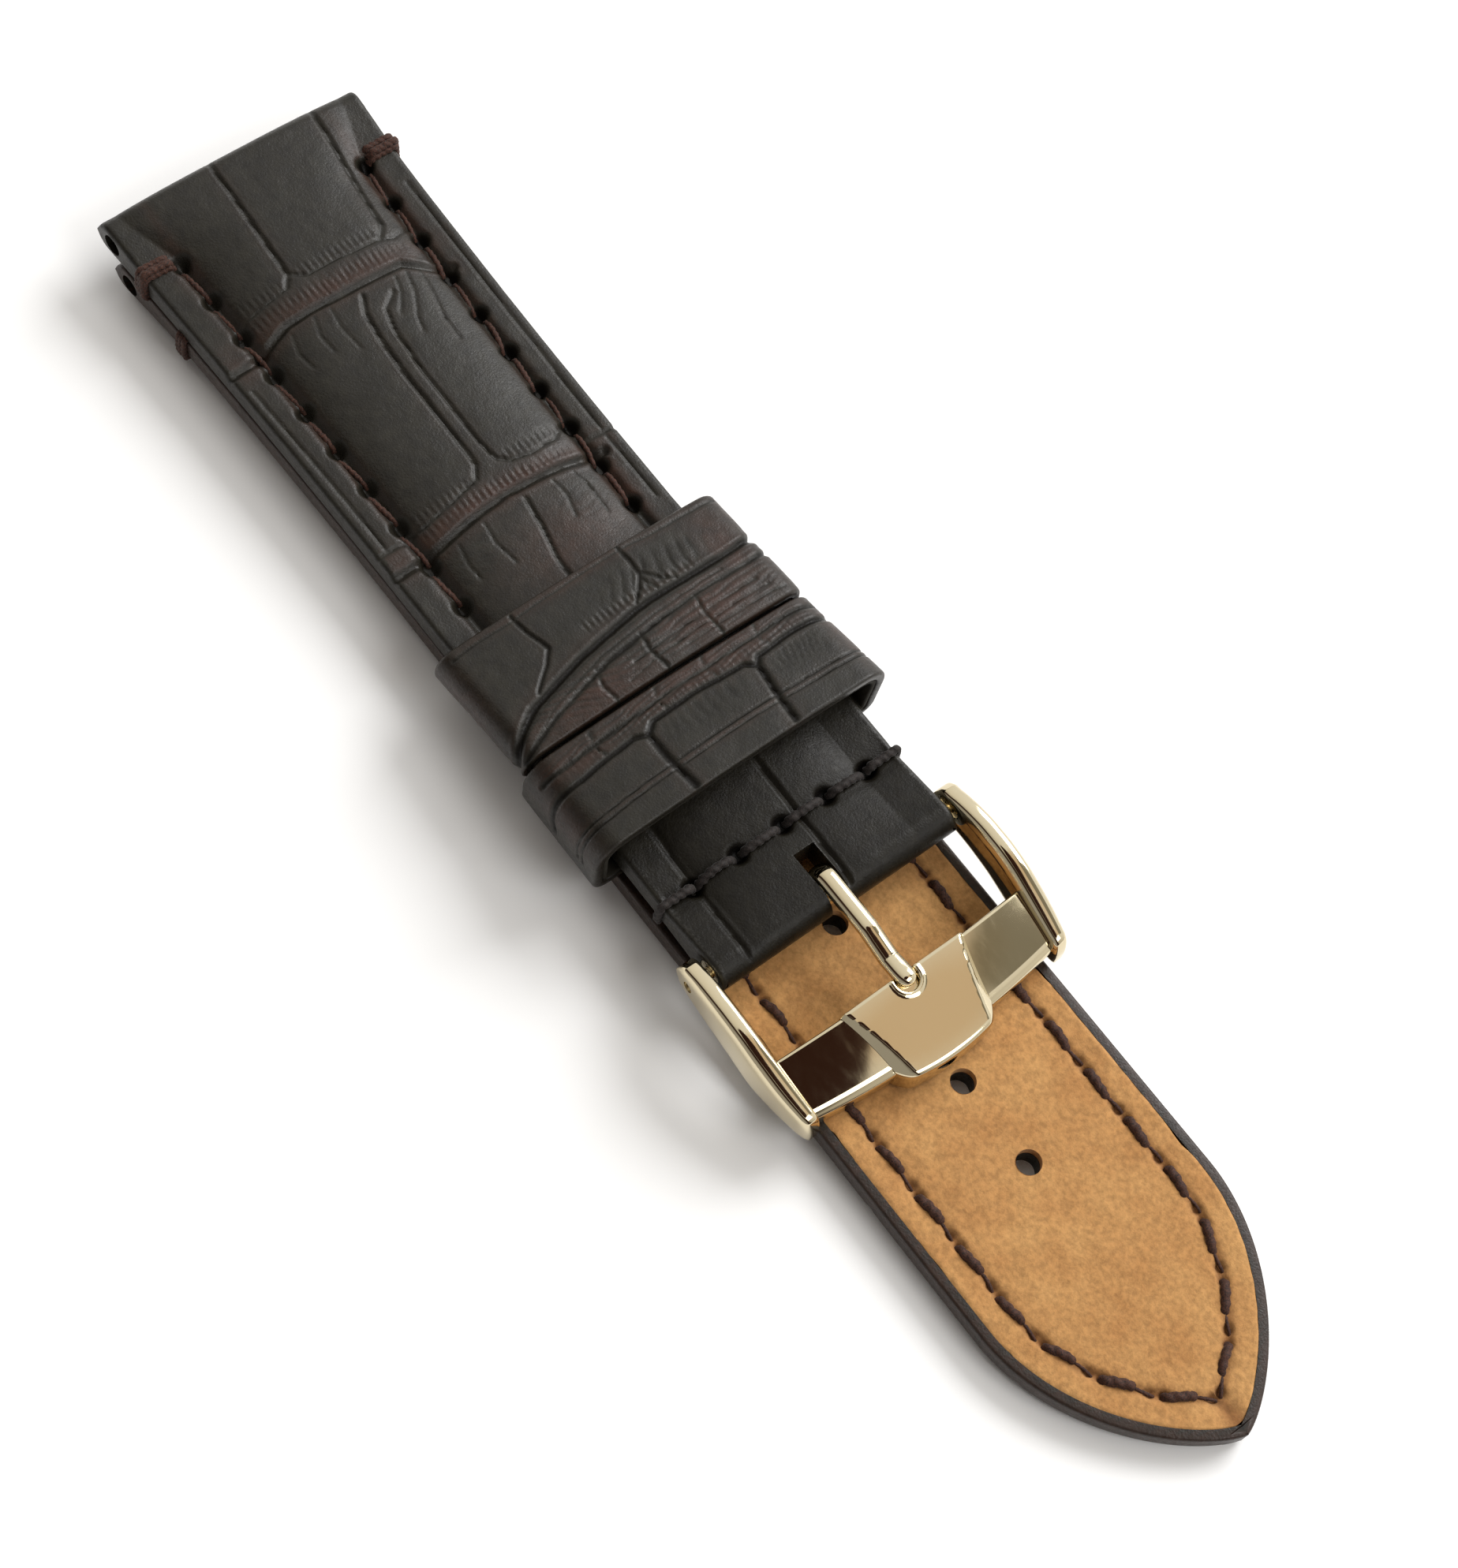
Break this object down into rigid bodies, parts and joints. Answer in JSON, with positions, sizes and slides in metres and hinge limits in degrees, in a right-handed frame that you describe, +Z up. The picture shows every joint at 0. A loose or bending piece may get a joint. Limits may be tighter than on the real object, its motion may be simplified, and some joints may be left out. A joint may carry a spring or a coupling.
{
  "type": "watch strap",
  "caption": "Padded leather watch strap with embossed scale grain, a sewn and a sliding keeper, and a hinged polished pin buckle, its pieces laid flat on each other.",
  "frame": {"origin": "bottom centre of the box round the strap as it lies: on the surface, midway along the two stacked pieces, on their middle line", "axes": "+X along the strap from the lug ends to the tail's tip, +Z up, +Y to the left seen along +X"},
  "size_m": [0.115, 0.0252, 0.0098],
  "materials": {
    "outer_leather": "embossed grain, semi-matte",
    "lining_leather": "nubuck, matte",
    "keeper_lining_leather": "smooth, matte",
    "padding": "raw",
    "reinforcing_cloth": "plain weave",
    "thread": "waxed linen",
    "polished_steel": "mirror polish",
    "spring_bar_steel": "drawn"
  },
  "bodies": {
    "tail_strap": {"tail_upper": "outer_leather", "tail_filler": "padding", "tail_lining": "lining_leather", "tail_reinforcement": "reinforcing_cloth", "tail_seam": "thread", "tail_lug_tacks": "thread"},
    "buckle_strap": {"buckle_side_upper": "outer_leather", "buckle_side_filler": "padding", "buckle_side_lining": "lining_leather", "buckle_side_reinforcement": "reinforcing_cloth", "buckle_side_seam_left": "thread", "buckle_side_seam_right": "thread", "buckle_side_cross_seam": "thread", "buckle_side_lug_tacks": "thread", "fixed_keeper": "outer_leather", "fixed_keeper_lining": "keeper_lining_leather", "spring_bar_barrel": "spring_bar_steel", "spring_bar_spring": "spring_bar_steel"},
    "sliding_keeper": {"free_keeper": "outer_leather", "free_keeper_lining": "keeper_lining_leather"},
    "frame_body": {"buckle_frame": "polished_steel"},
    "tongue_body": {"buckle_tongue": "polished_steel"},
    "pivot_left": {"spring_bar_tip_left": "spring_bar_steel"},
    "pivot_right": {"spring_bar_tip_right": "spring_bar_steel"}
  },
  "joints": [
    {"name": "strap_lift", "type": "slide", "parent": "tail_strap", "child": "buckle_strap", "axis": [0, 0, 1], "range_m": [0, 0.03]},
    {"name": "keeper_slide", "type": "slide", "parent": "buckle_strap", "child": "sliding_keeper", "axis": [1, 0, 0], "range_m": [0, 0.0036]},
    {"name": "buckle_hinge", "type": "hinge", "parent": "buckle_strap", "child": "frame_body", "pos_m": [0.01335, 0, 0.00532], "axis": [0, -1, 0], "range_deg": [0, 90]},
    {"name": "tongue_hinge", "type": "hinge", "parent": "frame_body", "child": "tongue_body", "pos_m": [0.01335, 0, 0.00532], "axis": [0, -1, 0], "range_deg": [0, 30]},
    {"name": "pivot_left_press", "type": "slide", "parent": "buckle_strap", "child": "pivot_left", "axis": [0, -1, 0], "range_m": [0, 0.0015], "stiffness_N_per_m": 300, "springref_m": -0.001},
    {"name": "pivot_right_press", "type": "slide", "parent": "buckle_strap", "child": "pivot_right", "axis": [0, 1, 0], "range_m": [0, 0.0015], "stiffness_N_per_m": 300, "springref_m": -0.001}
  ]
}
